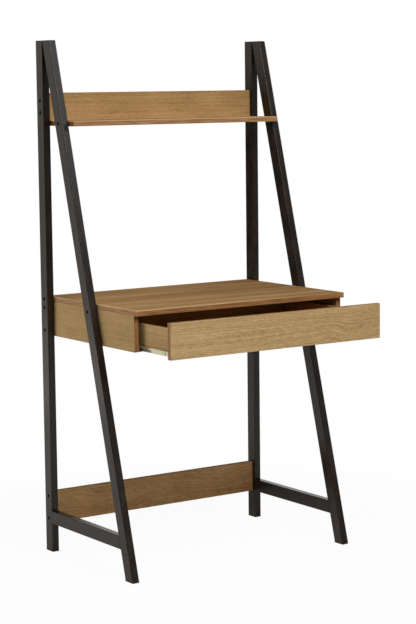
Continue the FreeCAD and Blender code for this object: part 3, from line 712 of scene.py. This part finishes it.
def socketBolt(head, rise, neck, length):
    recess = [(rise * 0.6, head * 0.55), (rise * 0.06, head * 0.55)]
    body = [(0, head * 0.62), (0, head * 0.84), (rise * 0.1, head * 0.95), (rise * 0.25, head),
            (rise, head), (rise, neck), (length - neck * 0.4, neck), (length, neck * 0.6)]
    return headAndBody(hexOutline, recess, body)


def crossScrew(head, rise, neck, length):
    recess = [(rise * 0.75, head * 0.22), (rise * 0.03, head * 0.58)]
    body = [(0, head * 0.64), (rise * 0.12, head * 0.86), (rise * 0.4, head), (rise * 0.6, head),
            (rise, neck), (length - neck * 2, neck), (length, neck * 0.12)]
    return headAndBody(crossOutline, recess, body)


def camDisc(head, rise, neck, length):
    # one plain disc, so it has no neck
    recess = [(length * 0.3, head * 0.3), (length * 0.01, head * 0.56)]
    body = [(0, head * 0.64), (0, head * 0.9), (length * 0.06, head), (length, head)]
    return headAndBody(crossOutline, recess, body)


turnedFasteners = [
    {"node": "frame_bolts", "body": "frame", "axis": "x",
     "profile": socketBolt, "slot": "black_steel"},
    {"node": "desk_back_bolts", "body": "frame", "axis": "x",
     "profile": socketBolt, "slot": "black_steel"},
    {"node": "cabinet_runner_screws", "body": "frame", "axis": "x",
     "profile": crossScrew, "slot": "black_steel"},
    {"node": "drawer_runner_screws", "body": "drawer", "axis": "x",
     "profile": crossScrew, "slot": "black_steel"},
    {"node": "shelf_screws", "body": "frame", "axis": "y",
     "profile": crossScrew, "slot": "zinc_steel"},
    {"node": "drawer_back_screws", "body": "drawer", "axis": "x",
     "profile": crossScrew, "slot": "zinc_steel"},
    {"node": "drawer_bottom_screws", "body": "drawer", "axis": "z",
     "profile": crossScrew, "slot": "zinc_steel"},
    {"node": "desk_cams", "body": "frame", "axis": "x",
     "profile": camDisc, "slot": "zinc_steel"},
    {"node": "drawer_cams", "body": "drawer", "axis": "x",
     "profile": camDisc, "slot": "zinc_steel"},
]

slotFinish = {"black_steel": blackFinish, "zinc_steel": zincFinish}


def separateSolids(nodeName):
    # the corners of each solid that shares the node
    shape = bmesh.new()
    shape.from_mesh(nodes[nodeName].data)
    bmesh.ops.remove_doubles(shape, verts=shape.verts, dist=fastenerMake["weld"])
    shape.verts.index_update()
    solids = []
    taken = set()
    for first in shape.verts:
        if first.index in taken:
            continue
        taken.add(first.index)
        group = [first]
        for corner in group:
            for edge in corner.link_edges:
                beside = edge.other_vert(corner)
                if beside.index not in taken:
                    taken.add(beside.index)
                    group.append(beside)
        solids.append([corner.co.copy() for corner in group])
    shape.free()
    return solids


def turnOne(shape, corners, fastener, spin):
    axis = "xyz".index(fastener["axis"])
    first, second = (axis + 1) % 3, (axis + 2) % 3
    low, high = [pick(corner[axis] for corner in corners) for pick in (min, max)]
    middle = [(min(corner[side] for corner in corners) + max(corner[side] for corner in corners)) / 2
              for side in (first, second)]

    def reach(level):
        near = [corner for corner in corners if abs(corner[axis] - level) < fastenerMake["sameLevel"]]
        return max(math.hypot(corner[first] - middle[0], corner[second] - middle[1]) for corner in near)

    # the head is the wider end, or the end towards the middle of the desk
    wider = reach(low) - reach(high)
    headFirst = wider > 0 if abs(wider) > fastenerMake["sameWidth"] else abs(low) < abs(high)
    face, tail = (low, high) if headFirst else (high, low)
    inward = 1 if headFirst else -1
    depths = sorted({round(abs(corner[axis] - face), 5) for corner in corners})
    segments = fastenerMake["segments"]
    before = None
    for depth, radius, outline in fastener["profile"](reach(face), depths[1], reach(tail), depths[-1]):
        ring = []
        for count in range(segments):
            angle = math.tau * count / segments
            place = [0, 0, 0]
            place[axis] = face + depth * inward
            place[first] = middle[0] + radius * outline(angle) * math.cos(angle + spin)
            place[second] = middle[1] + radius * outline(angle) * math.sin(angle + spin)
            ring.append(shape.verts.new(place))
        if before is None:
            shape.faces.new(ring)
        else:
            for count in range(segments):
                after = (count + 1) % segments
                shape.faces.new((before[count], before[after], ring[after], ring[count]))
        before = ring
    shape.faces.new(before[::-1])


def turnFasteners(fastener):
    shape = bmesh.new()
    for count, corners in enumerate(separateSolids(fastener["node"])):
        turnOne(shape, corners, fastener, count * fastenerMake["spin"])
    bmesh.ops.recalc_face_normals(shape, faces=shape.faces)
    mesh = bpy.data.meshes.new(fastener["node"] + "_turned")
    shape.to_mesh(mesh)
    shape.free()
    mesh.shade_smooth()
    mesh.set_sharp_from_angle(angle=math.radians(fastenerMake["sharpAngle"]))
    mesh.materials.append(slotFinish[fastener["slot"]])
    piece = bpy.data.objects.new(fastener["node"] + "_turned", mesh)
    scene.collection.objects.link(piece)
    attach(piece, fastener["body"])
    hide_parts(fastener["node"])


for fastener in turnedFasteners:
    turnFasteners(fastener)
print("fasteners turned:", len(turnedFasteners), "sets")

# Beech dowels.

dowel = {
    "node": "desk_dowels",
    "beech": paint(205, 172, 128),
    "line": paint(172, 132, 88),
    "fleck": {"scales": (1.2, 1.2, 0.12), "detail": 3.0},
    "fleckEdge": (0.35, 0.65),
    "fleckRough": 0.2,
    "rough": 0.6,
    "bump": (0.2, 0.0002),
}


def dressDowels(peg):
    beech = newFinish("beech_dowel")
    fleck = beech.noise(beech.place(), **peg["fleck"])
    beech.surface(
        Base_Color=beech.mix(beech.step(fleck, *peg["fleckEdge"]), peg["beech"], peg["line"]),
        Roughness=peg["rough"] + fleck.swing(peg["fleckRough"]),
        Normal=beech.bump(fleck, *peg["bump"]),
    )
    dress(peg["node"], beech.owner)


dressDowels(dowel)
print("frame, runners and fasteners dressed")

# Floor, which stays white to the eye and keeps a faint shadow, and a wider apron for the tubes to mirror.
# Mirrored is how white a reflection shows the floor, close to the desk and far from it.

whiteFloor = (0.8, 0.8, 0.8, 1)
pureWhite = (1, 1, 1, 1)

floor = {"name": "floor", "level": 0, "left": -2.2, "right": 2.6, "front": -1.6, "back": 3.2,
         "shadow": 0.05, "fade": (0.9, 1.5), "mirrored": (0.12, 0.58), "bounces": True}

apron = {"name": "apron", "level": -0.002, "left": -2.7, "right": 3.6, "front": -3.2, "back": 4.1,
         "shadow": 0, "fade": (0.9, 1.5), "mirrored": (0.85, 0.85), "bounces": False}


def layFloor(ground):
    mesh = bpy.data.meshes.new(ground["name"])
    corners = [(ground["left"], ground["front"]), (ground["right"], ground["front"]),
               (ground["right"], ground["back"]), (ground["left"], ground["back"])]
    mesh.from_pydata([(x, y, ground["level"]) for x, y in corners], [], [(0, 1, 2, 3)])
    piece = bpy.data.objects.new(ground["name"], mesh)
    scene.collection.objects.link(piece)
    piece.visible_diffuse = ground["bounces"]
    shade = newFinish(ground["name"] + "_white")
    matte = shade.node("BsdfDiffuse", {}, {"Color": whiteFloor})
    glow = shade.node("Emission", {}, {"Color": pureWhite, "Strength": 1.0})
    x, y = shade.axes("TexCoord", "Object")[:2]
    near = 1 - shade.step((x * x + y * y) ** 0.5, *ground["fade"])
    close, far = ground["mirrored"]
    camera, glossy, clear = shade.rays()
    white = camera.larger(glossy * (far + near * (close - far))).larger(clear)
    seen = shade.node("MixShader", {}, {0: white * (1 - near * ground["shadow"]), 1: matte, 2: glow})
    # nothing hides the desk from a camera under the floor
    under = shade.node("NewGeometry", {}, {}, "Backfacing")
    oneSided = shade.node("MixShader", {}, {0: under, 1: seen, 2: shade.node("BsdfTransparent")})
    shade.node("OutputMaterial", {}, {"Surface": oneSided})
    mesh.materials.append(shade.owner)


layFloor(floor)
layFloor(apron)

# Studio light: a large key in front, fills at the left and behind,
# strips for the tubes to mirror, and a cool rim.

deskMiddle = (0, 0, 0.75)
softWhite = (1, 0.98, 0.95)
warmWhite = (1, 0.95, 0.88)

studio = {
    "ambient": 0.06,
    "backdrop": (0.564, 0.826, 0),  # the way to the white backdrop
    "backdropEdge": (0.6, 0.85),
    "darkRoom": 0.008,  # what the tubes mirror beside the backdrop
    "frontRoom": (0.56, -0.83, 0),
    "frontEdge": (0.4, 0.9),
    "frontLevel": 0.19,
    "lamps": [
        {"name": "key", "from": (-0.3, -3.75, 4.1), "to": deskMiddle, "size": (2.0, 2.0),
         "power": 220, "colour": softWhite},
        {"name": "leftFill", "from": (-3.5, 1.6, 1.2), "to": deskMiddle, "size": (2.2, 1.6),
         "power": 64, "colour": softWhite, "mirrored": False},
        {"name": "rimStrip", "from": (-1.0, 1.0, 0.96), "to": (-0.38, 0.1, 0.96), "size": (0.62, 1.4),
         "power": 2.2, "colour": warmWhite},
        {"name": "highStrip", "from": (-0.52, 1.5, 1.6), "to": (0.36, 0.3, 1.46), "size": (0.5, 0.44),
         "power": 0.64, "colour": (1, 0.94, 0.86)},
        {"name": "legStrip", "from": (1.97, -2.93, 1.35), "to": (0, 0, 0.4), "size": (2.2, 0.7),
         "power": 1.4, "colour": warmWhite},
        {"name": "backFill", "from": (2.6, 3.4, 1.0), "to": deskMiddle, "size": (2.2, 1.6),
         "power": 45, "colour": softWhite, "mirrored": False},
        {"name": "coolRim", "from": (1.6, -2.8, 3.2), "to": deskMiddle, "size": (1.3, 1.3),
         "power": 13.5, "colour": (0.72, 0.83, 1)},
    ],
}


def hangLamp(lamp):
    data = bpy.data.lights.new(lamp["name"], "AREA")
    data.shape = "RECTANGLE"
    data.size, data.size_y = lamp["size"]
    data.energy = lamp["power"]
    data.color = lamp["colour"]
    light = bpy.data.objects.new(lamp["name"], data)
    light.location = lamp["from"]
    aim = Vector(lamp["to"]) - Vector(lamp["from"])
    light.rotation_euler = aim.to_track_quat("-Z", "Y").to_euler()
    light.visible_glossy = lamp.get("mirrored", True)
    scene.collection.objects.link(light)


def fillRoom(setup):
    scene.world = bpy.data.worlds.new("studio")
    air = Shading(scene.world)
    heading = air.node("TexCoord", {}, {}, "Generated")

    def towards(way, edge):
        along = air.node("VectorMath", {"operation": "DOT_PRODUCT"}, {0: heading, 1: way}, "Value")
        return air.step(along, *edge)

    behind = towards(setup["backdrop"], setup["backdropEdge"])
    ahead = towards(setup["frontRoom"], setup["frontEdge"])
    camera, glossy, clear = air.rays()
    mirrored = behind * (1 - setup["darkRoom"]) + setup["darkRoom"] + ahead * setup["frontLevel"]
    soft = setup["ambient"] + glossy * (mirrored - setup["ambient"])
    seen = camera.larger(clear)
    back = air.node("Background", {}, {"Color": pureWhite, "Strength": seen + (1 - seen) * soft})
    air.node("OutputWorld", {}, {"Surface": back})


for lamp in studio["lamps"]:
    hangLamp(lamp)
fillRoom(studio)

# Camera at the photograph's angle, with its place in metres, its angles in degrees and its lens in mm.

view = {"place": (-3.028211, -4.425256, 1.36991), "turn": 34.265028, "tilt": 6.968882, "roll": -0.631146,
        "lens": 107.425157, "sensor": 36}


def setCamera(shot):
    turn, tilt, roll = [math.radians(shot[name]) for name in ("turn", "tilt", "roll")]
    ahead = Vector((math.sin(turn) * math.cos(tilt), math.cos(turn) * math.cos(tilt), -math.sin(tilt)))
    data = bpy.data.cameras.new("camera")
    data.lens = shot["lens"]
    data.sensor_width = shot["sensor"]
    camera = bpy.data.objects.new("camera", data)
    camera.location = shot["place"]
    camera.rotation_mode = "QUATERNION"
    camera.rotation_quaternion = ahead.to_track_quat("-Z", "Y") @ Quaternion((0, 0, 1), roll)
    scene.collection.objects.link(camera)
    scene.camera = camera


setCamera(view)
scene.view_settings.view_transform = "Standard"
print("studio and camera set")
